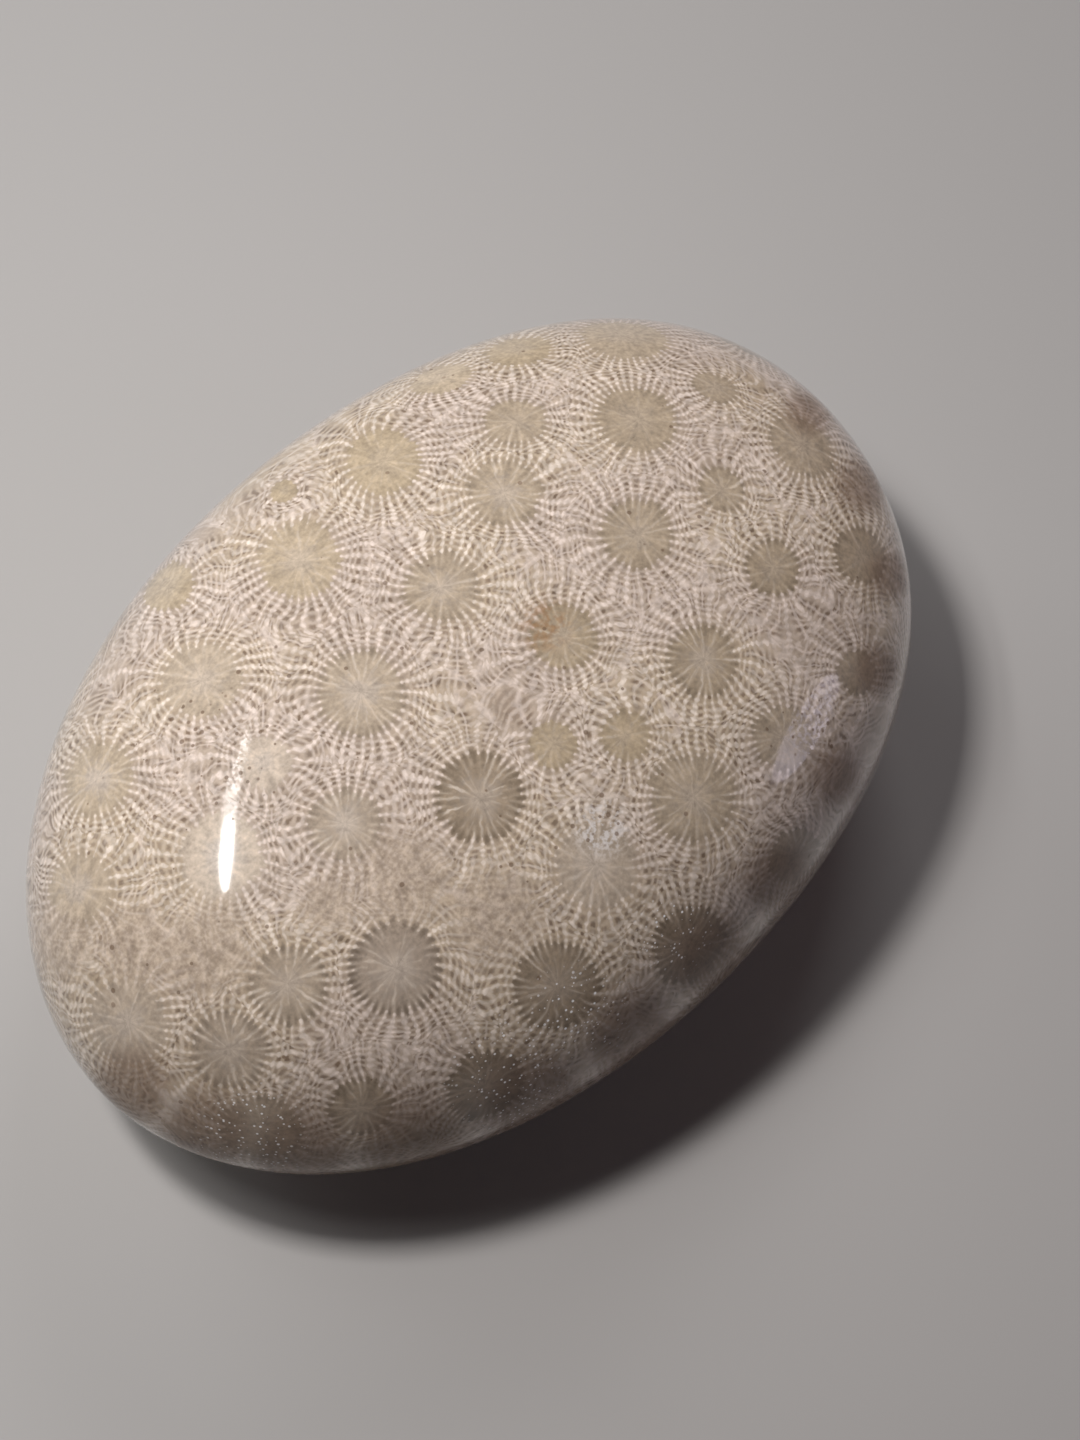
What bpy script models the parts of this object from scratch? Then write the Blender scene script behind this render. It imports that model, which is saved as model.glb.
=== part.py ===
"""Polished fossil coral stone: one solid pebble, tumbled and polished, lying on the flattened middle of its belly.

Metres, +Z up. +X runs along the stone to its broader end, and the origin is under the middle of its box.
"""

import math

import bmesh
import bpy
from mathutils import Vector

# Driving dimensions
LENGTH = 0.0720
WIDTH = 0.0486
GIRTH_HEIGHT = 0.0115  # from the surface that it lies on up to its widest outline
CROWN = 0.0155  # from the widest outline up to the top
FLAT_DEPTH = 0.0004  # what the resting flat takes off the round belly

# Form, as shares of those sizes
EGG = 0.061  # how much wider the stone is at its +X end than an even oval
SQUARENESS = 0.070  # fuller corners than an oval's, in plan
SHOULDER = 0.170  # how far the surface stands outside an ellipsoid, near the top and the bottom
SHOULDER_CROWN = 0.135  # the crown's share of that above the belly's
PLAN_WAVES = (  # slow waves round the outline: how many, cosine share, sine share
    (3, 0.0124, 0.0022),
    (4, 0.0000, 0.0066),
    (5, -0.0042, 0.0027),
)

ROUNDS = 5  # subdivisions of the ball that the stone is shaped from: 5120 triangles
SNAP = 0.00015  # a corner this near to the resting plane moves onto it
SHARP = math.radians(12)
COLOUR = (0.47, 0.39, 0.31, 1.0)
ROUGHNESS = 0.12

STONE = "fossil_coral_stone"


def clear_scene():
    for old in list(bpy.data.objects):
        bpy.data.objects.remove(old)


def pebble_point(ball):
    """The point of the pebble for a point of the unit ball, with z from the widest outline."""
    a, b, c = ball
    angle = math.atan2(b, a)
    wave = sum(cosine * math.cos(n * angle) + sine * math.sin(n * angle) for n, cosine, sine in PLAN_WAVES)
    swell = 1 + (SHOULDER + SHOULDER_CROWN * c) * c**2 + SQUARENESS * (a * b) ** 2
    swell += wave * (a**2 + b**2) ** 2
    belly = GIRTH_HEIGHT + FLAT_DEPTH
    mean_height, crown_share = (CROWN + belly) / 2, (CROWN - belly) / 2
    u, v = a * swell, b * swell
    return Vector(
        (
            LENGTH / 2 * u,
            WIDTH / 2 * v * (1 + EGG * u),
            c * (mean_height + crown_share * c),
        )
    )


def cut_resting_flat(bm):
    """Takes the lowest part of the belly off, level, and closes the cut with one flat face."""
    everything = bm.verts[:] + bm.edges[:] + bm.faces[:]
    plane = Vector((0, 0, -GIRTH_HEIGHT))
    bmesh.ops.bisect_plane(
        bm, geom=everything, dist=SNAP, plane_co=plane, plane_no=(0, 0, 1), clear_inner=True
    )
    rim = [edge for edge in bm.edges if edge.is_boundary]
    for edge in rim:
        for corner in edge.verts:
            corner.co.z = plane.z
    bmesh.ops.edgeloop_fill(bm, edges=rim)


def centre_over_origin(bm):
    """Stands the pebble on z 0 with the middle of its box over the origin."""
    low = Vector([min(v.co[i] for v in bm.verts) for i in range(3)])
    high = Vector([max(v.co[i] for v in bm.verts) for i in range(3)])
    middle = (low + high) / 2
    bmesh.ops.translate(bm, verts=bm.verts, vec=(-middle.x, -middle.y, -low.z))


def stone_material():
    material = bpy.data.materials.new("polished_coral_limestone")
    material.use_nodes = True
    shader = material.node_tree.nodes["Principled BSDF"]
    shader.inputs["Base Color"].default_value = COLOUR
    shader.inputs["Roughness"].default_value = ROUGHNESS
    shader.inputs["Metallic"].default_value = 0.0
    return material


def make_stone(collection):
    bm = bmesh.new()
    bmesh.ops.create_icosphere(bm, subdivisions=ROUNDS, radius=1)
    for vert in bm.verts:
        vert.co = pebble_point(vert.co)
    cut_resting_flat(bm)
    centre_over_origin(bm)
    bmesh.ops.recalc_face_normals(bm, faces=bm.faces)
    mesh = bpy.data.meshes.new(STONE)
    bm.to_mesh(mesh)
    bm.free()
    mesh.shade_smooth()
    mesh.set_sharp_from_angle(angle=SHARP)
    mesh.materials.append(stone_material())
    stone = bpy.data.objects.new(STONE, mesh)
    collection.objects.link(stone)
    return stone


def main():
    clear_scene()
    collection = bpy.data.collections.new("polished_fossil_coral")
    bpy.context.scene.collection.children.link(collection)
    make_stone(collection)


main()
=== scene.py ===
# %% [markdown]
# # A polished fossil coral stone
#
# The real thing is one pebble of limestone that was once a coral colony. Tumbling gave it the shape of a
# flattened egg, and a polish cut clean through its corallites, the tubes that the polyps lived in. Each one
# shows as a rosette: a smooth olive disc with fine walls in it, and cream ribs that run out to its
# neighbours. The CAD model already holds the true form. This lesson gives it a finer skin and the coral's
# pattern.

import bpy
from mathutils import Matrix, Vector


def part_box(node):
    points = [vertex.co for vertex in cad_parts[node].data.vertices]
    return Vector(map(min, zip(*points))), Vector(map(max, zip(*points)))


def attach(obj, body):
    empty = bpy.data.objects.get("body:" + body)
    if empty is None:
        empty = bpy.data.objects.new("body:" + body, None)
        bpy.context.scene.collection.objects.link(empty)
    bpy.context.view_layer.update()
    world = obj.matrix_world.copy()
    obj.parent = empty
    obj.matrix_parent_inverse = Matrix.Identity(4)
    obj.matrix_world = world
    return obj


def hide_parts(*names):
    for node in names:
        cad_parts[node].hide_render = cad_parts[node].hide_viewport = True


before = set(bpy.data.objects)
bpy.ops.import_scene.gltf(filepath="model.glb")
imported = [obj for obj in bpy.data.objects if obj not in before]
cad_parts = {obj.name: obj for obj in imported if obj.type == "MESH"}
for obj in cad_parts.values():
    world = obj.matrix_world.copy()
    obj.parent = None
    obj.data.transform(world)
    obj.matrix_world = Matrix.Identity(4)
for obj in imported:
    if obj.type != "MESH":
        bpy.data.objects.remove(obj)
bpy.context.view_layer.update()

# %% The tools
import math
import random
from types import SimpleNamespace

import bmesh
import bpy
import numpy as np
from mathutils import Matrix, Vector, noise
from mathutils.bvhtree import BVHTree

MM = 0.001
STONE = "fossil_coral_stone"
low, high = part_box(STONE)
size = high - low
print("the stone is", [round(v / MM, 1) for v in size], "mm")

# %% [markdown]
# ## The pebble's form
#
# A pebble could be sculpted by hand, but this one was measured, so a formula is surer. It starts from a ball
# and swells it: a little wider at the +X end, fuller at the shoulders than an ellipsoid, with slow waves
# round its outline. The CAD solid was made by the same formula, so the finer skin lies on it everywhere.

# %% The formula that turns a ball into the pebble
GIRTH_HEIGHT = 11.5 * MM  # from the surface that it lies on up to its widest outline
FLAT_DEPTH = 0.4 * MM  # what the worn flat takes off the round belly
EGG = 0.061
SQUARENESS = 0.070
SHOULDER = 0.170
SHOULDER_CROWN = 0.135
PLAN_WAVES = ((3, 0.0124, 0.0022), (4, 0.0, 0.0066), (5, -0.0042, 0.0027))


def pebble_point(ball):
    """The point of the pebble for a point of the unit ball, with z from the widest outline."""
    a, b, c = ball
    angle = math.atan2(b, a)
    wave = sum(cosine * math.cos(n * angle) + sine * math.sin(n * angle) for n, cosine, sine in PLAN_WAVES)
    swell = 1 + (SHOULDER + SHOULDER_CROWN * c) * c**2 + SQUARENESS * (a * b) ** 2
    swell += wave * (a**2 + b**2) ** 2
    crown, belly = size.z - GIRTH_HEIGHT, GIRTH_HEIGHT + FLAT_DEPTH
    height = c * ((crown + belly) / 2 + (crown - belly) / 2 * c)
    u, v = a * swell, b * swell
    return Vector((u, v * (1 + EGG * u), height))


print("the crown of the formula is", round(pebble_point((0, 0, 1)).z / MM, 2), "mm over the widest outline")

# %% [markdown]
# ## A skin of even quads
#
# A UV sphere crowds its faces at two poles, and an icosphere has triangles only. A cube whose sides are cut
# into a grid and then blown up to a ball has neither fault. Its grid lines are spread by equal angles first,
# so that the quads come out nearly the same size. The polish of a real pebble is never quite even, so each
# point also moves in or out by a few hundredths of a millimetre, which is what makes a reflection waver.

# %% Blow a cube up to the pebble
GRID = 128  # quads along a side of the cube: 98304 quads, 196608 triangles
WAVER = ((0.020 * MM, 5.0 * MM), (0.004 * MM, 1.7 * MM))  # the polish's unevenness: how high, how long

skin = bmesh.new()
bmesh.ops.create_cube(skin, size=2)
bmesh.ops.subdivide_edges(skin, edges=skin.edges, cuts=GRID - 1, use_grid_fill=True)
for vert in skin.verts:
    ball = Vector([math.tan(side * math.pi / 4) for side in vert.co]).normalized()
    vert.co = pebble_point(ball)
stretch = [size[i] / (max(v.co[i] for v in skin.verts) - min(v.co[i] for v in skin.verts)) for i in range(2)]
bmesh.ops.scale(skin, verts=skin.verts, vec=(stretch[0], stretch[1], 1))
middle = [(max(v.co[i] for v in skin.verts) + min(v.co[i] for v in skin.verts)) / 2 for i in range(2)]
bmesh.ops.translate(skin, verts=skin.verts, vec=(-middle[0], -middle[1], GIRTH_HEIGHT))
skin.normal_update()
for vert in skin.verts:
    push = sum(deep * noise.noise(vert.co / long) for deep, long in WAVER)
    vert.co += vert.normal * (push - WAVER[0][0])
    vert.co.z = max(vert.co.z, 0.0)
skin.normal_update()
print(len(skin.verts), "points,", len(skin.faces), "quads, stretched by", [round(s / MM, 3) for s in stretch])

# %% Measure the skin against the CAD solid
SAMPLE_STEP = 9  # every ninth point is enough

cad_mesh = bmesh.new()
cad_mesh.from_mesh(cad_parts[STONE].data)
cad_tree = BVHTree.FromBMesh(cad_mesh)
cad_mesh.free()
apart = [cad_tree.find_nearest(vert.co)[3] for vert in list(skin.verts)[::SAMPLE_STEP]]
print("the skin is at most", round(max(apart) / MM, 3), "mm off the CAD solid")

# %% [markdown]
# ## Where the camera stands
#
# The photograph looks down on the stone from near its narrow end, with the camera held slightly askew. It is
# set up before the pattern, because the rosettes on the side that shows are placed by sight lines.

# %% Camera
PHOTO = (1080, 1440)
FOCAL_PIXELS = 2300.0  # focal length in the photograph's pixels
EYE = Vector((-55.94, -38.48, 156.1)) * MM
HEADING = math.radians(31.3)  # the way that it looks, from +X towards +Y
DOWN = math.radians(64.5)
ROLL = math.radians(11.3)
SENSOR = 36.0

ahead = Vector((math.cos(HEADING) * math.cos(DOWN), math.sin(HEADING) * math.cos(DOWN), -math.sin(DOWN)))
level = Vector((math.sin(HEADING), -math.cos(HEADING), 0))
over = level.cross(ahead)
right = math.cos(ROLL) * level + math.sin(ROLL) * over
up = math.cos(ROLL) * over - math.sin(ROLL) * level

camera_data = bpy.data.cameras.new("camera")
camera_data.sensor_width = SENSOR
camera_data.lens = FOCAL_PIXELS / PHOTO[1] * SENSOR
camera_data.clip_start = 0.01
camera = bpy.data.objects.new("camera", camera_data)
camera.matrix_world = Matrix.Translation(EYE) @ Matrix((right, up, -ahead)).transposed().to_4x4()
bpy.context.scene.collection.objects.link(camera)
bpy.context.scene.camera = camera


def sight_line(x, y):
    """The direction from the camera through a pixel of the photograph."""
    across, down = x - PHOTO[0] / 2, y - PHOTO[1] / 2
    return (ahead + (across * right - down * up) / FOCAL_PIXELS).normalized()


print("lens", round(camera_data.lens, 1), "mm")

# %% [markdown]
# ## The rosettes that show
#
# Each corallite on the near side is listed as it appears: where its centre lies and how wide its
# disc is, in pixels of the photograph, then how it looks, from 0 to 1. A sight line carries each one onto the
# skin. A corallite is a tube that goes down into the stone, and a slanting cut through a tube is a long oval.
# Nearly all the discs look round in the photograph, so their tubes run towards the camera. Only those near
# the upper and the lower edge look foreshortened, so there the tubes lean towards the skin's own normal.

# %% The list of rosettes
# centre x and y, disc across, darkness, olive tint, inner walls, dark rim, pale heart
SEEN = (
    (518, 350, 66, 0.30, 1.0, 0.1, 0.1, 0.2),
    (624, 336, 92, 0.30, 0.6, 0.1, 0.1, 0.2),
    (440, 378, 64, 0.15, 0.7, 0.1, 0.1, 0.2),
    (715, 387, 47, 0.45, 0.6, 0.3, 0.4, 0.2),
    (637, 419, 86, 0.45, 0.7, 0.2, 0.4, 0.2),
    (515, 421, 64, 0.40, 0.6, 0.4, 0.4, 0.2),
    (383, 461, 78, 0.30, 1.0, 0.3, 0.2, 0.2),
    (504, 492, 74, 0.40, 0.6, 0.7, 0.4, 0.5),
    (722, 489, 46, 0.50, 0.6, 0.6, 0.6, 0.2),
    (803, 445, 74, 0.45, 0.6, 0.4, 0.3, 0.2),
    (637, 533, 74, 0.50, 0.6, 0.5, 0.5, 0.3),
    (774, 568, 59, 0.55, 0.7, 0.4, 0.7, 0.2),
    (861, 556, 60, 0.60, 0.6, 0.3, 0.5, 0.2),
    (284, 492, 30, 0.30, 1.0, 0.0, 0.1, 0.2),
    (300, 560, 86, 0.30, 0.8, 0.5, 0.2, 0.4),
    (167, 587, 58, 0.30, 0.9, 0.3, 0.2, 0.2),
    (442, 587, 74, 0.40, 0.5, 0.6, 0.5, 0.5),
    (565, 637, 70, 0.50, 0.9, 0.6, 0.5, 0.3),
    (201, 680, 80, 0.25, 0.4, 0.4, 0.2, 0.5),
    (361, 692, 92, 0.35, 0.4, 0.7, 0.6, 0.7),
    (703, 660, 74, 0.55, 0.7, 0.8, 0.6, 0.5),
    (264, 762, 54, 0.05, 0.0, 0.4, 0.1, 0.9),
    (97, 779, 78, 0.28, 0.6, 0.6, 0.3, 0.9),
    (553, 745, 50, 0.45, 1.0, 0.5, 0.4, 0.2),
    (626, 735, 50, 0.45, 1.0, 0.5, 0.4, 0.2),
    (783, 737, 68, 0.50, 0.5, 0.6, 0.4, 0.2),
    (479, 797, 90, 0.70, 0.5, 1.0, 0.8, 0.5),
    (693, 798, 90, 0.45, 0.6, 0.8, 0.4, 0.4),
    (857, 673, 46, 0.60, 0.5, 0.3, 0.4, 0.2),
    (345, 824, 72, 0.40, 0.2, 1.0, 0.6, 0.8),
    (596, 867, 84, 0.30, 0.2, 0.9, 0.2, 0.6),
    # painted highlight: this disc lies under the bright streak, so it is drawn with almost no darkness and a
    # whole pale heart for the streak's haze
    (221, 857, 84, 0.05, 0.1, 0.3, 0.1, 1.0),
    (78, 888, 72, 0.28, 0.5, 0.4, 0.2, 0.7),
    (795, 857, 60, 0.60, 0.4, 0.5, 0.4, 0.2),
    (690, 945, 84, 0.75, 0.4, 0.6, 0.6, 0.1),
    (557, 986, 90, 0.70, 0.5, 0.8, 0.7, 0.3),
    (396, 968, 92, 0.55, 0.0, 0.6, 1.0, 0.6),
    (289, 985, 76, 0.45, 0.3, 1.0, 0.8, 0.5),
    (127, 1022, 84, 0.30, 0.2, 0.7, 0.2, 0.7),
    (230, 1050, 76, 0.50, 0.2, 0.8, 0.6, 0.5),
    (362, 1108, 66, 0.65, 0.4, 0.6, 0.7, 0.2),
    (486, 1086, 84, 0.80, 0.3, 0.4, 0.5, 0.2),
    (262, 1130, 84, 0.55, 0.3, 0.3, 0.3, 0.2),
)
RIB_GAP = 0.54 * MM  # between the ribs, where they start at the rim of a disc
# y in the photograph, then how far a tube leans from the sight line, 0, to the skin's normal, 1
TUBE_LEAN = ((330, 0.9), (385, 0.8), (470, 0.15), (1060, 0.15), (1120, 0.5))
CUT_WAY = Vector((0.3, -0.2, 1.0))  # any way along which no tube runs: it sets where the angles start

skin_tree = BVHTree.FromBMesh(skin)
rosettes = []


def add_rosette(centre, tube, radius, looks):
    """Keeps a rosette with the way that its tube runs and two directions across that."""
    along = tube.cross(CUT_WAY).normalized()
    ribs = 2 * round(math.pi * radius / RIB_GAP)
    rosettes.append((centre, along, tube.cross(along), tube, radius, ribs, looks))


for x, y, across, *looks in SEEN:
    place, facing, _, distance = skin_tree.ray_cast(EYE, sight_line(x, y))
    lean = float(np.interp(y, *zip(*TUBE_LEAN)))
    tube = (facing * lean - sight_line(x, y) * (1 - lean)).normalized()
    add_rosette(place, tube, across / 2 * distance / FOCAL_PIXELS, looks)
discs = [2 * rosette[4] / MM for rosette in rosettes]
print(len(rosettes), "rosettes seen, with discs of", round(min(discs), 1), "to", round(max(discs), 1), "mm")

# %% [markdown]
# ## The rosettes on the hidden side
#
# The colony goes on under the stone. New corallites bud where there is room, so their centres keep a
# distance from each other but follow no grid. Random points of the skin are tried one after another, from a
# fixed seed, and each is kept if it is far enough from all the others and out of the photograph's sight.

# %% Fill the rest of the skin
SPACING = 8.3 * MM
TRIES = 9000
OUT_OF_SIGHT = 0.1  # the cosine under which a face turns too far from the camera to be seen well
HIDDEN_RADIUS = (2.1, 3.1)  # of a disc, in mm
HIDDEN_LOOKS = ((0.2, 0.6), (0.2, 0.9), (0.3, 0.9), (0.2, 0.8), (0.2, 0.7))  # limits, in the list's order
chance = random.Random(17)
skin.faces.ensure_lookup_table()
for _ in range(TRIES):
    face = skin.faces[chance.randrange(len(skin.faces))]
    place, facing = face.calc_center_median(), face.normal
    looks = [chance.uniform(*limits) for limits in HIDDEN_LOOKS]
    radius = chance.uniform(*HIDDEN_RADIUS) * MM
    hidden = facing.dot((EYE - place).normalized()) < OUT_OF_SIGHT
    if hidden and all((place - other[0]).length > SPACING for other in rosettes):
        add_rosette(place.copy(), facing.copy(), radius, looks)
print(len(rosettes), "rosettes on the whole stone")

# %% [markdown]
# ## Marks on the stone
#
# Some marks belong to one place: patches where the ribs are lost in grainy stone, pinholes, a rusty stain, a
# grey scar, painted shade that makes the stone darker and browner round its lower and right edge, where its
# coat is duller too, and a little white dust. Sight lines find each place, as they did for the rosettes.

# %% Places of the marks
# x and y in the photograph, then how far the mark reaches, in mm
GRAINY = ((405, 878, 4.2), (495, 914, 4.0), (205, 950, 4.2), (135, 945, 3.6), (60, 945, 3.2), (330, 905, 2.4))
PITTED = ((212, 745, 5.5), (262, 700, 3.5), (632, 448, 1.2), (818, 722, 3.4))
RUSTY = ((545, 625, 2.2),)
SCARRED = ((602, 828, 2.4),)
# painted shade: the stone is drawn darker and browner along its lower and right edge, where the flank turns
# from the light, and its coat is duller there
PAINTED_SHADE_DULL_EDGE = (
    (130, 1088, 3.6), (205, 1135, 4.2), (300, 1155, 4.6), (412, 1148, 5.0), (535, 1100, 4.8),
    (632, 1036, 4.4), (712, 958, 4.0), (780, 880, 3.4), (838, 776, 2.8), (878, 670, 2.4),
    (890, 575, 2.4), (862, 485, 2.8), (808, 412, 2.4),
)
DUSTY = ((505, 1078, 5.0), (578, 1015, 4.2), (676, 934, 3.4), (250, 1138, 4.5))


def spot(x, y):
    """The point of the stone that shows at a pixel of the photograph."""
    return skin_tree.ray_cast(EYE, sight_line(x, y))[0]


print("the rusty stain is at", [round(v / MM, 1) for v in spot(*RUSTY[0][:2])], "mm")

# %% [markdown]
# ## The skin as arrays
#
# What follows compares each of some 98,000 quads with every rosette. Arrays do that in a moment, where a loop
# over the faces would take minutes, so the points, the normals and the rosettes are read into arrays first.

# %% Read the skin and the rosettes
stone_mesh = bpy.data.meshes.new("polished_stone")
skin.to_mesh(stone_mesh)
skin.free()


def read(collection, name, kind=float, width=1):
    """One property of all points or corners, as an array."""
    values = np.empty(len(collection) * width, kind)
    collection.foreach_get(name, values)
    return values.reshape(-1, width) if width > 1 else values


points = read(stone_mesh.vertices, "co", width=3)
normals = read(stone_mesh.vertices, "normal", width=3)
corner_points = read(stone_mesh.loops, "vertex_index", int)
face_middles = points[corner_points].reshape(-1, 4, 3).mean(axis=1)
centres, alongs, acrosses, tubes, sizes, rib_counts = (
    np.array([rosette[part] for rosette in rosettes]) for part in range(6)
)
print("arrays of", len(points), "points and", len(centres), "rosettes")

# %% [markdown]
# ## Each quad's two nearest rosettes
#
# A material that compared every point with all the rosettes would be slow. Instead each quad learns here
# which two are nearest. A step along a rosette's tube counts less than a step across it, because a tube looks
# the same all along. Out of the photograph's sight it counts fully, or a disc that is cut at a slant would be
# drawn out down the far flank.

# %% Find the nearest rosettes
TERRITORY = 0.6  # how much of its disc's radius a larger rosette adds to its reach
DEPTH_SHARE = 0.3  # how much a step along the tube counts, beside a step across it
SIGHT_ENDS = (0.0, -0.35)  # the cosines to the camera between which a step comes to count fully


def ramp(values, start, end):
    """0 at start and 1 at end, smooth between."""
    share = np.clip((values - start) / (end - start), 0, 1)
    return share * share * (3 - 2 * share)


sights = np.array(EYE) - points
facing = (sights * normals).sum(axis=1) / np.linalg.norm(sights, axis=1)
depth_shares = DEPTH_SHARE + (1 - DEPTH_SHARE) * ramp(facing, *SIGHT_ENDS)
face_shares = depth_shares[corner_points].reshape(-1, 4).mean(axis=1)
away = face_middles[:, None] - centres[None]
deep = (away * tubes).sum(axis=2)
distances = np.sqrt((away**2).sum(axis=2) - (1 - face_shares[:, None] ** 2) * deep**2) - TERRITORY * sizes
nearest = np.argsort(distances, axis=1)[:, :2]
print("the nearest rosette is", round(distances.min(axis=1).mean() / MM, 2), "mm beyond its reach on average")

# %% [markdown]
# ## Ribs that bend
#
# Ribs aren't straight: they swing round to meet the ribs of the rosettes beside them, and they wander. The
# swing comes from the angles at which a place sees the neighbours' centres, each weighed by its ribs, like
# field lines between magnets. Slow noise that shifts the places gives the wandering. Vector noise starts from
# the clock unless it is given a seed, so it gets one, and every run draws the same ribs.

# %% Bend the ribs
BENDS = ((0.60 * MM, 4.0 * MM), (0.40 * MM, 1.7 * MM), (0.22 * MM, 0.8 * MM))  # how far ribs stray, over what
PULL = 0.45  # how strongly a neighbour bends a rosette's ribs towards its own
NEIGHBOURS = 6
CENTRE_CORE = 0.1 * MM  # nearer than this to its own centre, a place counts as this near
NEIGHBOUR_CORE = 1.5 * MM  # the same for a neighbour's centre
WIDEN = (0.4, 1.6)  # the least and the most that the gaps between ribs are widened by
STRAY_SEED = 17

noise.seed_set(STRAY_SEED)
gaps = np.linalg.norm(centres[:, None] - centres, axis=2)
neighbours = np.argsort(gaps, axis=1)[:, 1 : 1 + NEIGHBOURS]


def stray_at(point):
    """How far slow noise shifts the ribs at a point."""
    return sum((far * noise.noise_vector(Vector(point) / long) for far, long in BENDS), Vector())


def flow(place, own):
    """How far the neighbours turn a rosette's ribs at each place, in ribs, and how much they widen gaps."""
    x, y = place[:, 0], place[:, 1]
    turn = np.zeros(len(place))
    alone = np.stack([-y, x]) / np.maximum(x**2 + y**2, CENTRE_CORE**2) * rib_counts[own]
    spread = alone.copy()
    for other in neighbours[own].T:
        gap = centres[other] - centres[own]
        far_x, far_y = (gap * alongs[own]).sum(axis=1), (gap * acrosses[own]).sum(axis=1)
        angle = np.arctan2(y - far_y, x - far_x) - np.arctan2(-far_y, -far_x)
        angle = (angle + math.pi) % (2 * math.pi) - math.pi
        turn -= PULL * rib_counts[other] * angle / (2 * math.pi)
        square = np.maximum((x - far_x) ** 2 + (y - far_y) ** 2, NEIGHBOUR_CORE**2)
        spread -= PULL * rib_counts[other] * np.stack([far_y - y, x - far_x]) / square
    widen = np.linalg.norm(alone, axis=0) / np.maximum(np.linalg.norm(spread, axis=0), 1.0)
    return np.column_stack([turn, np.clip(widen, *WIDEN), np.zeros(len(place))])


bends = np.array([stray_at(point) for point in points])
print("the ribs stray by up to", round(np.linalg.norm(bends, axis=1).max() / MM, 2), "mm")

# %% [markdown]
# ## Store the pattern's numbers in the mesh
#
# The corners of each quad store where they lie from the centres of its two rosettes, in millimetres,
# measured across the tubes, and the quad itself stores what the rosettes look like. The marks are stored at
# the points. The material draws the pattern from those numbers, as sharp as the render asks.

# %% Store the attributes
STRAY_IN_DISC = 0.25  # the share of the straying that reaches the inside of a disc
STRAY_ENDS = (0.9, 1.6)  # in radii of the disc, where the straying starts to grow and where it is full
FADE = 0.35  # the share of a mark's reach over which it is at its full strength
CLOUD_SIZE = 8 * MM  # of the patches where the stone turns from warm to rosy
CLOUD_ENDS = (-0.3, 0.3)  # of their noise


def store(name, kind, domain, values):
    """Writes one attribute of the stone's mesh."""
    data = stone_mesh.attributes.new(name, kind, domain).data
    data.foreach_set("vector" if kind == "FLOAT_VECTOR" else "value", values.astype(np.float32).ravel())


def marked(marks):
    """At each point, 1 in the middle of a mark, fading to 0 at its reach. Marks run down the flank."""
    strength = np.zeros(len(points))
    for x, y, far in marks:
        away = points - spot(x, y)
        deep = away @ np.array(sight_line(x, y))
        distance = np.sqrt((away**2).sum(axis=1) - (1 - DEPTH_SHARE**2) * deep**2)
        strength = np.maximum(strength, ramp(distance, far * MM, far * FADE * MM))
    return strength


forms = np.array([(radius / MM, ribs, i) for i, (*_, radius, ribs, _) in enumerate(rosettes)])
tints = np.array([rosette[6][:3] for rosette in rosettes])
trims = np.array([(*rosette[6][3:], 0) for rosette in rosettes])
for rank, name in enumerate(("first", "second")):
    mine = nearest[:, rank]
    at_corner = np.repeat(mine, 4)
    away = points[corner_points] - centres[at_corner]
    ways = (alongs[at_corner], acrosses[at_corner], tubes[at_corner] * depth_shares[corner_points, None])
    place = np.column_stack([(away * way).sum(axis=1) for way in ways])
    radii_out = np.linalg.norm(place, axis=1) / sizes[at_corner]
    stray = STRAY_IN_DISC + (1 - STRAY_IN_DISC) * ramp(radii_out, *STRAY_ENDS)
    place[:, :2] += bends[corner_points, :2] * stray[:, None]
    store(f"{name}_place", "FLOAT_VECTOR", "CORNER", place / MM)
    store(f"{name}_flow", "FLOAT_VECTOR", "CORNER", flow(place, at_corner))
    store(f"{name}_form", "FLOAT_VECTOR", "FACE", forms[mine])
    store(f"{name}_tint", "FLOAT_VECTOR", "FACE", tints[mine])
    store(f"{name}_trim", "FLOAT_VECTOR", "FACE", trims[mine])

cloud = ramp(np.array([noise.noise(Vector(point) / CLOUD_SIZE) for point in points]), *CLOUD_ENDS)
# painted shade along the lower and right edge, where the coat is also duller
store("painted_shade_dull_edge", "FLOAT", "POINT", marked(PAINTED_SHADE_DULL_EDGE))
store("marks", "FLOAT_VECTOR", "POINT", np.column_stack([marked(GRAINY), marked(PITTED), marked(RUSTY)]))
store("more_marks", "FLOAT_VECTOR", "POINT", np.column_stack([marked(SCARRED), marked(DUSTY), cloud]))
print("attributes:", [attribute.name for attribute in stone_mesh.attributes])

# %% [markdown]
# ## Sums as shader nodes
#
# The pattern is arithmetic on distances and angles, which reads best as arithmetic. This class wraps a socket
# of a material. Adding or multiplying two of them adds a Math node, and `node` adds any other kind.

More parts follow.
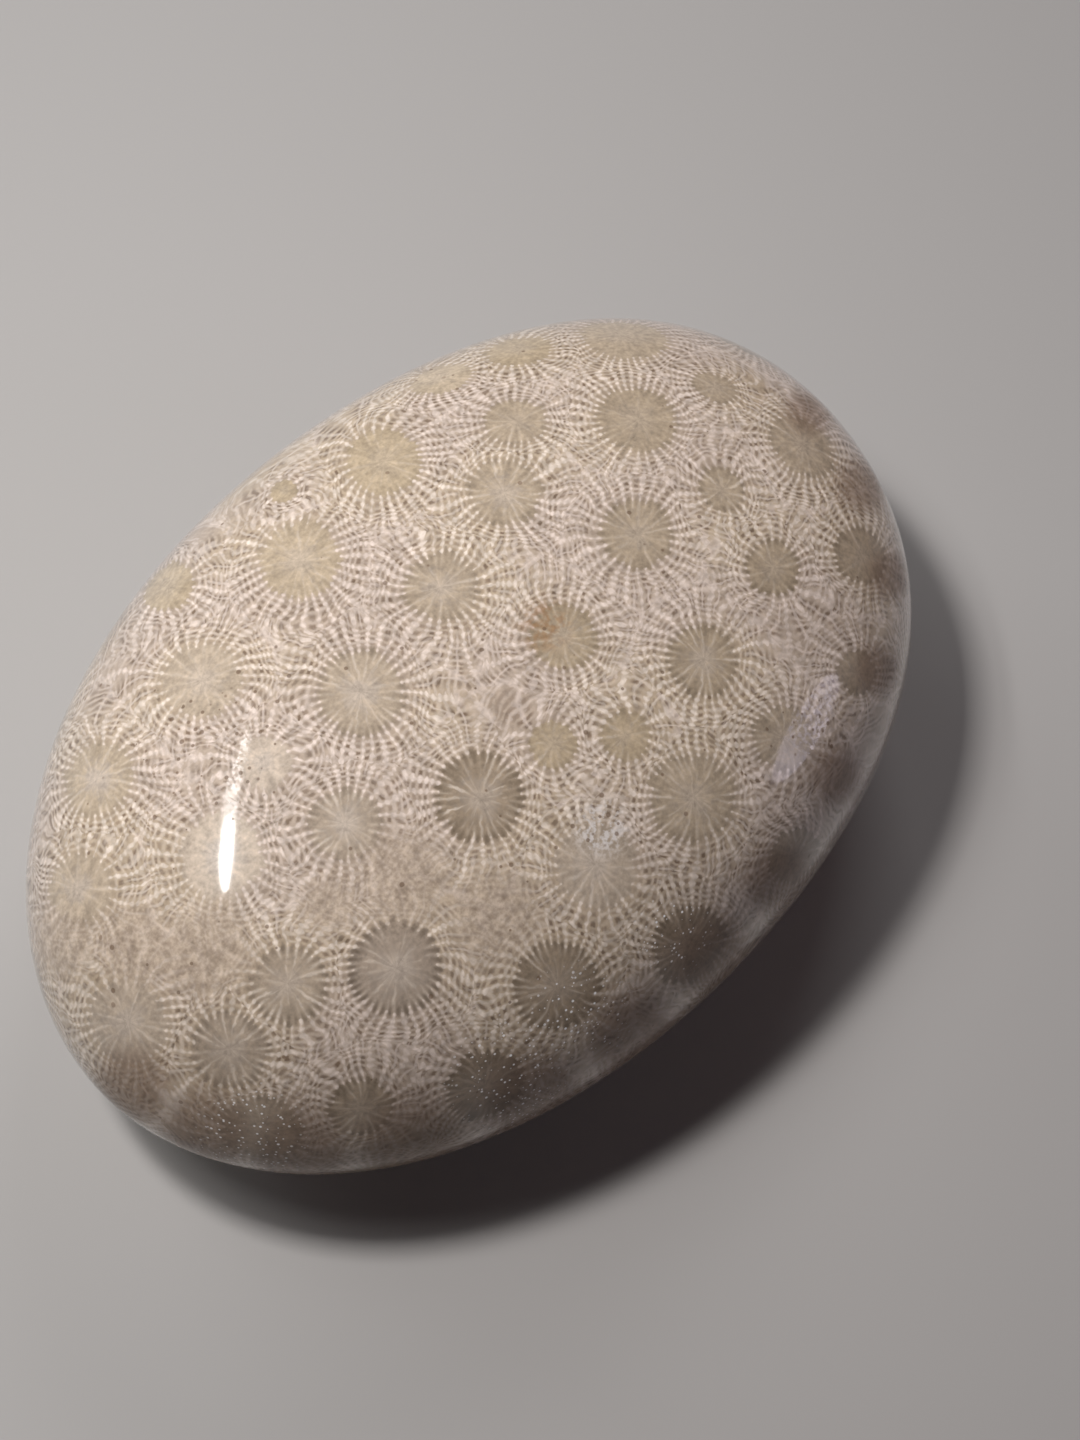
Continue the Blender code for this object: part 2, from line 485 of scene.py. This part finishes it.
# %% A socket that can be calculated with
class Strand:
    """A value or colour on its way through a material's nodes."""

    def __init__(self, tree, socket=None):
        self.tree = tree
        self.socket = socket

    def node(self, kind, settings=(), inputs=(), output=0):
        """Adds a node, sets it up, plugs values or strands into its sockets and gives one of its outputs."""
        made = self.tree.nodes.new(kind)
        for name, setting in dict(settings).items():
            setattr(made, name, setting)
        for name, value in dict(inputs).items():
            if isinstance(value, Strand):
                self.tree.links.new(value.socket, made.inputs[name])
            else:
                made.inputs[name].default_value = value
        return Strand(self.tree, made.outputs[output] if made.outputs else None)

    def sibling(self, output):
        """Another output of the node that this strand comes from."""
        return Strand(self.tree, self.socket.node.outputs[output])

    def math(self, operation, *values):
        """A Math node on one to three values or strands."""
        return self.node("ShaderNodeMath", {"operation": operation}, enumerate(values))

    def vector(self, operation, inputs, output=0):
        """A Vector Math node, which also keeps a colour in colour."""
        return self.node("ShaderNodeVectorMath", {"operation": operation}, inputs, output)

    def split(self):
        """The three parts of a vector or of a colour."""
        parts = self.node("ShaderNodeSeparateXYZ", (), {0: self})
        return parts, parts.sibling(1), parts.sibling(2)

    def __add__(self, other):
        return self.math("ADD", self, other)

    def __radd__(self, other):
        return self.math("ADD", other, self)

    def __sub__(self, other):
        return self.math("SUBTRACT", self, other)

    def __rsub__(self, other):
        return self.math("SUBTRACT", other, self)

    def __mul__(self, other):
        return self.math("MULTIPLY", self, other)

    def __rmul__(self, other):
        return self.math("MULTIPLY", other, self)

    def __truediv__(self, other):
        return self.math("DIVIDE", self, other)

    def __rtruediv__(self, other):
        return self.math("DIVIDE", other, self)

    def __mod__(self, other):
        return self.math("FLOORED_MODULO", self, other)

    def __abs__(self):
        return self.math("ABSOLUTE", self)

    def rise(self, start, end):
        """0 before start, 1 after end, smooth between. With start above end it falls instead."""
        settings = {"interpolation_type": "SMOOTHSTEP"}
        return self.node("ShaderNodeMapRange", settings, {"Value": self, "From Min": start, "From Max": end})

    def blend(self, first, second):
        """first where this strand is 0, second where it is 1, for colours."""
        return self.node("ShaderNodeMix", {"data_type": "RGBA"}, {0: self, 6: first, 7: second}, 2)


def paint(red, green, blue):
    """A colour given as on a screen, 0 to 255, in the linear values that a render uses."""
    linear = [(v / 255 / 12.92) if v < 11 else ((v / 255 + 0.055) / 1.055) ** 2.4 for v in (red, green, blue)]
    return (*linear, 1.0)


print("middle grey is", [round(v, 3) for v in paint(128, 128, 128)])

# %% [markdown]
# ## The stone's colours
#
# The calcite of the ribs is cream, and the mud between them taupe. The discs were filled by clearer calcite,
# which looks olive where it is stained and grey where it isn't.

# %% Colours
CREAM = paint(223, 210, 198)
CREAM_ROSY = paint(219, 204, 195)
TAUPE = paint(175, 159, 145)
TAUPE_WARM = paint(176, 159, 139)
PORE = paint(118, 100, 85)
GRAIN_DARK = paint(158, 141, 125)
GRAIN_PALE = paint(186, 170, 154)
# painted shade for the lower and right edge
PAINTED_EDGE_SHADE = paint(122, 101, 86)
DISC_PALE_OLIVE = paint(193, 176, 152)
DISC_PALE_GREY = paint(192, 177, 162)
DISC_DARK_OLIVE = paint(124, 107, 85)
DISC_DARK_GREY = paint(116, 102, 90)
WALL = paint(204, 191, 178)
RIM_DARK = paint(92, 79, 66)
HEART = paint(190, 177, 165)
RUST = paint(136, 100, 66)
SCAR = paint(208, 204, 204)
PIT = paint(112, 92, 76)
DUST = paint(250, 248, 250)
print("the stone's colours are mixed")

# %% [markdown]
# ## One rosette as a formula
#
# Each point knows how far it lies from the centre and at what angle. The angle times the number of ribs
# counts the ribs off one by one, so the nearest rib has a number, and that number seeds its own width,
# brightness and knots. The gaps between ribs have numbers too, and along a gap the cross-bars, and the dark
# cells between them, are counted off by the distance. What all parts of a rosette need is measured once.

# %% Measure where a point lies in a rosette
BEAD = 0.41  # between the knots of a rib, and the cross-bars of a gap, in mm
FRAY = 0.36  # how far fine grain frays the edges, in mm from the least to the most
HEART_STRAY = 2.2  # how far the walls stray sideways in the middle of a disc, in ribs
STRAY_OUT = (1.0, 0.4)  # where they start to, and where they fully do, in radii of the disc
SEED_STEP = 101  # sets the random numbers of one rosette apart from the next one's


def chance_of(key):
    """Three random numbers that stay the same wherever the key is the same."""
    return key.node("ShaderNodeTexWhiteNoise", {"noise_dimensions": "1D"}, {"W": key}, 1).split()


def cloudy(start, place, scale, detail):
    """Soft noise with lumps of about 1 / scale millimetres."""
    inputs = {"Vector": place, "Scale": scale, "Detail": detail, "Roughness": 0.55}
    return start.node("ShaderNodeTexNoise", (), inputs)


def attribute(start, name):
    """What the mesh stores under this name."""
    return start.node("ShaderNodeAttribute", {"attribute_name": name}, (), 1)


def measure_rosette(start, name, grain, tangle):
    """Where a point lies in a rosette: how far out, and how far from which rib. Lengths are in mm."""
    at = SimpleNamespace(grain=grain, tangle=tangle)
    place = attribute(start, f"{name}_place")
    at.x, at.y, _ = place.split()
    radius, at.ribs, at.number = attribute(start, f"{name}_form").split()
    turn, widen, _ = attribute(start, f"{name}_flow").split()
    at.distance = place.vector("LENGTH", {0: place}, 1)
    at.beyond = at.distance - radius * TERRITORY
    at.share = at.distance / radius
    angle = at.y.math("ARCTAN2", at.y, at.x)
    stray = (tangle - 0.5) * at.share.rise(*STRAY_OUT) * HEART_STRAY
    at.spoke = angle / (2 * math.pi) * at.ribs + turn + stray
    at.rib = at.spoke.math("ROUND", at.spoke)
    at.offset = abs(at.spoke - at.rib)
    at.spacing = at.distance / at.ribs * (2 * math.pi) * widen
    at.rough = (grain - 0.5) * FRAY
    at.off_rib = at.offset * at.spacing + at.rough
    at.wide, at.shift, at.bright = chance_of(at.rib % at.ribs + at.number * SEED_STEP)
    return at


print("the knots and cross-bars are", BEAD, "mm apart")

# %% Draw the ribs
RIB_HALF = 0.12  # half a rib's width where it has room, in mm
RIB_SHARE = 0.22  # the same where it is crowded, as a share of the way to the next rib
RIB_LEAST = 0.70  # the thinnest rib, beside those
RIB_CHANCE = 0.6  # what chance adds to that at most
KNOT_SWELL = 0.40  # how much a knot widens its rib
ROOT_WIDTH = 0.52  # how wide a rib is where it leaves the disc
ROOT_GROWTH = 0.5  # what it gains further out
ROOT_ENDS = (0.80, 1.70)  # where that starts and ends, in radii of the disc
RIB_LIGHT = 0.32  # how light the darkest rib is, between the ground, 0, and cream, 1
LIGHT_CHANCE = 0.20  # what chance adds to that at most
LIGHT_TANGLE = 0.56  # what slow noise adds to it
LIGHT_KNOT = 0.20  # what a knot adds to it
RIB_EDGE = (0.09, -0.07)  # where a rib's edge starts and ends, in mm from its half width
FAR_LOSS = 0.25  # how much of its light a rib loses far out
FAR_ENDS = (1.5, 2.4)  # where that starts and ends, in radii of the disc


def draw_ridge(at):
    """How light a rib makes a point: it has knots, is thin near the disc and fades far out."""
    phase = (at.distance / BEAD + at.shift) * (2 * math.pi)
    knot = phase.math("SINE", phase)
    crowded = at.spacing * RIB_SHARE
    half = crowded.math("MINIMUM", crowded, RIB_HALF)
    half = half * (RIB_LEAST + at.wide * RIB_CHANCE) * (1 + knot * KNOT_SWELL)
    half = half * (ROOT_WIDTH + at.share.rise(*ROOT_ENDS) * ROOT_GROWTH)
    light = RIB_LIGHT + at.bright * LIGHT_CHANCE + at.tangle * LIGHT_TANGLE + knot * LIGHT_KNOT
    ridge = at.off_rib.rise(half + RIB_EDGE[0], half + RIB_EDGE[1]) * light
    return ridge * (1 - at.share.rise(*FAR_ENDS) * FAR_LOSS)


print("a rib is", RIB_HALF * 2, "mm wide")

# %% Draw what lies between two ribs
LATE_HALF = 0.17  # half the width of a younger rib midway between two others, in mm
LATE_LIGHT = 0.6
LATE_ENDS = (0.72, 0.92)  # mm between ribs at which the younger one starts to show, and is whole
BAR_SEED = 67  # sets the random numbers of one cross-bar apart from the next one's
BAR_EDGE = (0.19, 0.02)  # where a bar's edge starts and ends, in mm from its middle
BAR_FRAY = 1.4  # how strongly it is frayed
BAR_THERE = (0.1, 0.4)  # a bar's random number, under which it is missing, and over which it is whole
BAR_LIGHT = 0.08  # how light the darkest bar is
BAR_CHANCE = 0.42  # what chance adds to that at most
BAR_ENDS = (1.00, 1.15)  # where the bars start and are whole, in radii of the disc
CELL_SEED = 71  # the same for the cells
CELL_LONG = (0.44, 0.14)  # where a dark cell's edge starts and ends, in steps from its middle
CELL_WIDE = (0.20, 0.40)  # the same across the gap, as a share of the way to the next rib
CELL_DARK = 0.40  # how dark the palest cell is
CELL_CHANCE = 0.60  # what chance adds to that at most
CELL_FAR = (3.8, 2.0)  # where the cells fade away far out, in radii of the disc
CELL_NEAR = (0.98, 1.28)  # where they start
CELL_MOST = 0.97


def draw_gap(at):
    """Between two ribs: how light the cross-bars and a late rib are, and how dark the cells."""
    midway = (0.5 - at.offset) * at.spacing + at.rough
    late_rib = midway.rise(LATE_HALF, 0.0) * at.spacing.rise(*LATE_ENDS) * LATE_LIGHT
    gap = at.spoke.math("FLOOR", at.spoke) % at.ribs + at.number * SEED_STEP + 0.5
    step = at.distance / BEAD + chance_of(gap)[0]

    bar_number = step.math("ROUND", step)
    there, bright, _ = chance_of(gap + bar_number * BAR_SEED)
    bar = (abs(step - bar_number) * BEAD + at.rough * BAR_FRAY).rise(*BAR_EDGE) * there.rise(*BAR_THERE)
    bar = bar * (BAR_LIGHT + bright * BAR_CHANCE) * at.share.rise(*BAR_ENDS)

    cell = step.math("FLOOR", step)
    depth, _, _ = chance_of(gap + cell * CELL_SEED + 0.25)
    hole = (abs(step - cell - 0.5) + at.rough).rise(*CELL_LONG) * at.offset.rise(*CELL_WIDE)
    hole = hole * (CELL_DARK + depth * CELL_CHANCE)
    hole = hole * at.share.rise(*CELL_FAR) * at.share.rise(*CELL_NEAR) * CELL_MOST
    return bar.math("MAXIMUM", bar, late_rib), hole


print("a cross-bar is", BAR_EDGE[0] * 2, "mm thick at most")

# %% Draw the disc
STREAK_RIBS = 7  # a streak of the disc is about as wide as this many ribs
STREAK_CHANGE = 0.16  # how fast the streaks change on the way out, per mm
SHORT_WALL = 0.35  # every second wall starts this much further out, in radii of the disc
WALL_ENDS = (0.10, 0.60)  # where the longer walls start and are whole
WALL_LEAST = 0.35  # how strong the faintest wall is
WALL_CHANCE = 0.65  # what chance adds to that at most
WALL_HALF = 0.18  # in mm
WALL_STREAKS = (0.35, 0.60)  # the streaks in which walls start to show, and are whole
WALL_LIGHT = 0.95
HEART_FRAY = 1.5  # how strongly the heart's edge is frayed
HEART_ENDS = (0.66, 0.10)  # where the pale heart starts and is whole, in radii of the disc
DISC_SHADE = 0.66  # how light a disc is without what its streaks and its grain add
DISC_STREAKS = 0.46
DISC_GRAIN = 0.22


def draw_disc(start, name, at, darkness, pale_heart):
    """The disc's colour, and the streaks in it: clear calcite with fine walls and a paler heart."""
    _, olive, walls = attribute(start, f"{name}_tint").split()
    pale = olive.blend(DISC_PALE_GREY, DISC_PALE_OLIVE)
    dark = olive.blend(DISC_DARK_GREY, DISC_DARK_OLIVE)
    around = {0: at.x / at.distance, 1: at.y / at.distance, 2: at.distance * STREAK_CHANGE + at.number}
    streaks = cloudy(start, start.node("ShaderNodeCombineXYZ", (), around), at.ribs / STREAK_RIBS, 1.0)
    later = (at.rib % 2) * SHORT_WALL
    reach = (at.share + at.rough).rise(later + WALL_ENDS[0], later + WALL_ENDS[1])
    reach = reach * (WALL_LEAST + at.bright * WALL_CHANCE)
    wall = at.off_rib.rise(WALL_HALF, 0.0) * reach * walls * streaks.rise(*WALL_STREAKS) * WALL_LIGHT
    heart = (at.share + at.rough * HEART_FRAY + at.tangle - 0.5).rise(*HEART_ENDS) * pale_heart
    disc = wall.blend(heart.blend(darkness.blend(pale, dark), HEART), WALL)
    shade = DISC_SHADE + streaks * DISC_STREAKS + at.grain * DISC_GRAIN
    return start.vector("SCALE", {0: disc, "Scale": shade}), streaks


print("a disc has about", round(float(np.median(rib_counts))), "ribs round it")

# %% Draw the whole rosette
NOTCH = 0.1  # midway between ribs the disc's rim is this much further in, times the offset squared
NOTCH_RIM = 0.2  # what a dark rim adds to that
EDGE_CHANCE = 0.08  # how far the rim strays from rib to rib
EDGE_FRAY = 0.6
EDGE_STREAKS = 0.4  # how far the streaks shift it
RIB_BITE = 0.11  # how far a rib bites into the disc
BITE_ENDS = (0.76, 0.96)
DISC_EDGE = (0.96, 1.07)  # where the disc ends and the ribs are whole, in radii of the disc
RING_INNER = (0.70, 0.97)  # where the dark ring starts and is whole
RING_OUTER = (1.12, 1.00)  # where it ends, and is still whole
RING_GAPS = (0.08, 0.45)  # it is darkest between the ribs
RING_DARK = 0.6


def draw_rosette(start, name, at, cloud):
    """The rosette's colour at a point, from its measures there."""
    darkness = attribute(start, f"{name}_tint").split()[0]
    dark_rim, pale_heart, _ = attribute(start, f"{name}_trim").split()
    ridge = draw_ridge(at)
    light, hole = draw_gap(at)
    ground = hole.blend(cloud.blend(TAUPE, TAUPE_WARM), PORE)
    field = ridge.math("MAXIMUM", ridge, light).blend(ground, cloud.blend(CREAM_ROSY, CREAM))
    disc, streaks = draw_disc(start, name, at, darkness, pale_heart)

    notch = at.offset * at.offset * (NOTCH + dark_rim * NOTCH_RIM)
    edge = at.share - notch + at.wide * EDGE_CHANCE + at.rough * EDGE_FRAY + (streaks - 0.5) * EDGE_STREAKS
    edge = edge + ridge * RIB_BITE * at.share.rise(*BITE_ENDS)
    colour = edge.rise(*DISC_EDGE).blend(disc, field)
    ring = at.share.rise(*RING_INNER) * at.share.rise(*RING_OUTER) * at.offset.rise(*RING_GAPS) * dark_rim
    return (ring * RING_DARK).blend(colour, RIM_DARK)


print("the dark ring is widest at", RING_INNER[1], "of the disc's radius")

# %% [markdown]
# ## The finished surface
#
# Both nearest rosettes are drawn, and a Mix Shader shows the nearer one, so that only that one is worked out
# at most points. Fine noise gives the grain of the stone, and a net of small cells fills the corners between
# rosettes. The polish is a clear coat, nearly a mirror, over stone with a dull sheen of its own. The coat is
# thin or missing where the stone is pitted or dusty, and along the lower and right edge, where painted shade
# makes the stone darker and browner, which breaks up the reflections there.

# %% Pits, dust and the net
SPECK_LEAST = 0.3  # the smallest speck beside the largest
SPECK_EDGE = (1.0, 0.6)  # where a speck's edge starts and ends, in its own radii
PITS = (1.8, 0.22)  # cells to a millimetre, and the largest pit's radius in mm
PIT_SHARES = (0.05, 0.55, 0.30)  # how many cells have a pit: anywhere, and what pitted and scarred marks add
DUST_SPECKS = (3.0, 0.12, 0.8)  # cells to a millimetre, radius in mm, and how many cells have a speck
NET_SCALE = 1.4  # cells to a millimetre
NET_ENDS = (0.36, 0.58)  # of the distance in a cell, where its wall starts and is whole
NET_LIGHT = 0.45
NET_LEAD = (0.8, 0.1)  # mm by which one rosette is nearer than the other, where the net starts and is whole
NET_OUT = (1.7, 2.1)  # the same in radii of the disc


def specks(start, place, scale, largest, share):
    """Small round dots at random: 1 inside them. The share is how many of the cells have one."""
    cell = start.node("ShaderNodeTexVoronoi", (), {"Vector": place, "Scale": scale})
    there, how_large, _ = cell.sibling(1).split()
    edge = (how_large * (1 - SPECK_LEAST) + SPECK_LEAST) * (largest * scale)
    return (cell / edge).rise(*SPECK_EDGE) * (share - there).rise(0.0, 0.02)


def corner_net(start, place, lead, share):
    """How light the net of small cells is that fills the corners between rosettes."""
    net = start.node("ShaderNodeTexVoronoi", (), {"Vector": place, "Scale": NET_SCALE})
    return net.rise(*NET_ENDS) * (lead.rise(*NET_LEAD) * share.rise(*NET_OUT)) * NET_LIGHT


print("the largest pit is", 2 * PITS[1], "mm across")

# %% Put the material together
GRAIN = (3.6, 3.0)  # the fine grain: lumps to a millimetre, and detail
TANGLE = (1.3, 2.0)  # the same for slower noise, which makes lighter and darker places
GRAIN_SHARE = 0.6  # of the fine grain in the two together
SHADE_LEAST = 0.37  # how light the stone is without what its grain and the slow noise add
SHADE_GRAIN = 0.58
SHADE_TANGLE = 0.68
PIT_DULL = 0.8  # how much of its coat the stone loses in a pit
PATCH_DULL = 0.9  # how much in the grain of a pitted mark
PATCH_ENDS = (0.42, 0.52)
EDGE_DULL = 0.85  # how much along the lower and right edge, with the painted shade
HAND_OVER = (-0.08, 0.08)  # mm of lead over which one rosette gives way to the other


def polished_coral():
    """The stone's material: both rosettes with the marks on them, under a clear coat."""
    material = bpy.data.materials.new("polished_coral")
    material.use_nodes = True
    tree = material.node_tree
    tree.nodes.clear()
    start = Strand(tree)
    place = start.node("ShaderNodeTexCoord", (), (), "Object")
    place = place.vector("SCALE", {0: place, "Scale": 1 / MM})
    grainy, pitted, rusty = attribute(start, "marks").split()
    scarred, dusty, cloud = attribute(start, "more_marks").split()
    # painted shade and a duller coat along the lower and right edge
    painted_shade_dull_edge = attribute(start, "painted_shade_dull_edge").sibling(2)
    grain = cloudy(start, place, *GRAIN)
    tangle = cloudy(start, place, *TANGLE)
    grains = tangle * (1 - GRAIN_SHARE) + grain * GRAIN_SHARE

    measures = [measure_rosette(start, name, grain, tangle) for name in ("first", "second")]
    lead = measures[1].beyond - measures[0].beyond
    net = corner_net(start, place, lead, measures[0].share)
    pit_share = PIT_SHARES[0] + pitted * PIT_SHARES[1] + scarred * PIT_SHARES[2]
    pits = specks(start, place, *PITS, pit_share)
    dust = specks(start, place, *DUST_SPECKS) * dusty
    patches = pitted * grain.rise(*PATCH_ENDS)
    coat = 1 - dust - pits * PIT_DULL - patches * PATCH_DULL - painted_shade_dull_edge * EDGE_DULL
    shade = SHADE_LEAST + grain * SHADE_GRAIN + tangle * SHADE_TANGLE
    # how strongly each mark covers what is under it, and its colour
    layers = (
        (net, CREAM_ROSY),
        (grainy * 0.75, grains.rise(0.32, 0.68).blend(GRAIN_DARK, GRAIN_PALE)),
        (rusty * tangle.rise(0.40, 0.60) * 0.6, RUST),
        (scarred * grains.rise(0.45, 0.58) * 0.7, SCAR),
        # painted shade along the lower and right edge
        (painted_shade_dull_edge * 0.65, PAINTED_EDGE_SHADE),
        (pits * 0.75, PIT),
        (dust * 0.95, DUST),
    )

    shaders = []
    for name, at in zip(("first", "second"), measures):
        colour = draw_rosette(start, name, at, cloud)
        for strength, mark_colour in layers:
            colour = strength.blend(colour, mark_colour)
        inputs = {
            "Base Color": start.vector("SCALE", {0: colour, "Scale": shade}),
            "Roughness": 0.25,
            "Specular IOR Level": 0.14,
            "Coat Weight": coat,
            "Coat IOR": 1.45,
            "Coat Roughness": 0.06,
        }
        shaders.append(start.node("ShaderNodeBsdfPrincipled", (), inputs))
    factor = lead.rise(*HAND_OVER)
    shader = start.node("ShaderNodeMixShader", (), {0: factor, 1: shaders[1], 2: shaders[0]})
    start.node("ShaderNodeOutputMaterial", (), {"Surface": shader})
    return material


coral_material = polished_coral()
print("the stone's material has", len(coral_material.node_tree.nodes), "nodes")

# %% Dress the stone
stone_mesh.materials.append(coral_material)
stone_mesh.shade_smooth()
stone = bpy.data.objects.new("polished_stone", stone_mesh)
bpy.context.scene.collection.objects.link(stone)
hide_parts(STONE)
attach(stone, "root")
print("triangles:", 2 * len(stone_mesh.polygons))

# %% [markdown]
# ## Floor and light
#
# The stone lies on a plain pale floor. Two things show in the polish: a strip lamp, high on the left, as the
# narrow bright streak, and a pale lilac card as a faint patch near the broad end. The strip is made of two,
# so that its lower half is brighter. The lamps that light the stone are kept out of the reflections, and the
# room is dim, so that the near flank falls into shade.

# %% Floor
FLOOR_HALF = 1500 * MM
FLOOR_COLOUR = paint(176, 174, 173)

floor_mesh = bmesh.new()
bmesh.ops.create_grid(floor_mesh, x_segments=1, y_segments=1, size=FLOOR_HALF)
floor_data = bpy.data.meshes.new("floor")
floor_mesh.to_mesh(floor_data)
floor_mesh.free()
floor_material = bpy.data.materials.new("pale_floor")
floor_material.use_nodes = True
floor_shader = floor_material.node_tree.nodes["Principled BSDF"]
floor_shader.inputs["Base Color"].default_value = FLOOR_COLOUR
floor_shader.inputs["Roughness"].default_value = 0.6
floor_data.materials.append(floor_material)
floor = bpy.data.objects.new("floor", floor_data)
bpy.context.scene.collection.objects.link(floor)
print("the floor is", 2 * FLOOR_HALF, "m wide")

# %% Lamps
AIM = Vector((0, 0, 12)) * MM
UPRIGHT = Vector((0, 0, 1))


def add_lamp(name, place, wide, long, power, colour, turn=UPRIGHT, shape="RECTANGLE"):
    """A soft flat lamp at a place, turned towards the stone, its long side along the given way."""
    data = bpy.data.lights.new(name, "AREA")
    data.shape = shape
    data.size, data.size_y = wide * MM, long * MM
    data.energy = power
    data.color = colour
    lamp = bpy.data.objects.new(name, data)
    back = (place - AIM).normalized()
    side = turn.cross(back).normalized()
    turned = Matrix((side, back.cross(side), back)).transposed().to_4x4()
    lamp.matrix_world = Matrix.Translation(place) @ turned
    bpy.context.scene.collection.objects.link(lamp)
    return lamp


print("the lamps aim at", list(AIM / MM), "mm")

# %% The strip and the card that show in the polish
STREAK_START = Vector((-108, 70, 234)) * MM
STREAK_END = Vector((-12, 150, 215)) * MM
WARM_WHITE = (1.0, 0.985, 0.965)
LILAC = (0.86, 0.80, 1.0)
STRIPS = (("streak_thin", 0.50, 13, 1.0, 0.060), ("streak_wide", 0.27, 14, 0.5, 0.070))

streak = STREAK_END - STREAK_START
for name, along, wide, share, power in STRIPS:
    place, long = STREAK_START + along * streak, share * streak.length / MM
    add_lamp(name, place, wide, long, power, WARM_WHITE, turn=streak, shape="ELLIPSE")
add_lamp("lilac_card", Vector((165, -190, 85)) * MM, 78, 82, 0.042, LILAC, shape="ELLIPSE")
print("the strip is", round(streak.length / MM), "mm long")

# %% The lamps that light the stone
# name, place in mm, wide and long in mm, power in watts, colour
LAMPS = (
    ("key", (-45, 60, 197), 25, 25, 0.28, (1.0, 0.965, 0.94)),
    ("side_fill", (0, 423, 154), 300, 150, 0.60, (0.96, 1.0, 1.0)),
    ("back_fill", (260, 160, 260), 150, 150, 0.32, (1.0, 1.0, 1.0)),
    ("end_fill", (436, 77, 80), 300, 150, 0.12, (1.0, 0.6, 0.5)),
)
for name, place, wide, long, power, colour in LAMPS:
    lamp = add_lamp(name, Vector(place) * MM, wide, long, power, colour)
    lamp.visible_glossy = False  # it lights the stone but doesn't show in the polish

# %% The dim room
ROOM_COLOUR = (1.0, 0.82, 0.80, 1.0)
ROOM_STRENGTH = 0.025

world = bpy.data.worlds.new("room")
world.use_nodes = True
background = world.node_tree.nodes["Background"]
background.inputs["Color"].default_value = ROOM_COLOUR
background.inputs["Strength"].default_value = ROOM_STRENGTH
bpy.context.scene.world = world
bpy.context.scene.view_settings.view_transform = "Standard"
print("the room's light has strength", ROOM_STRENGTH)
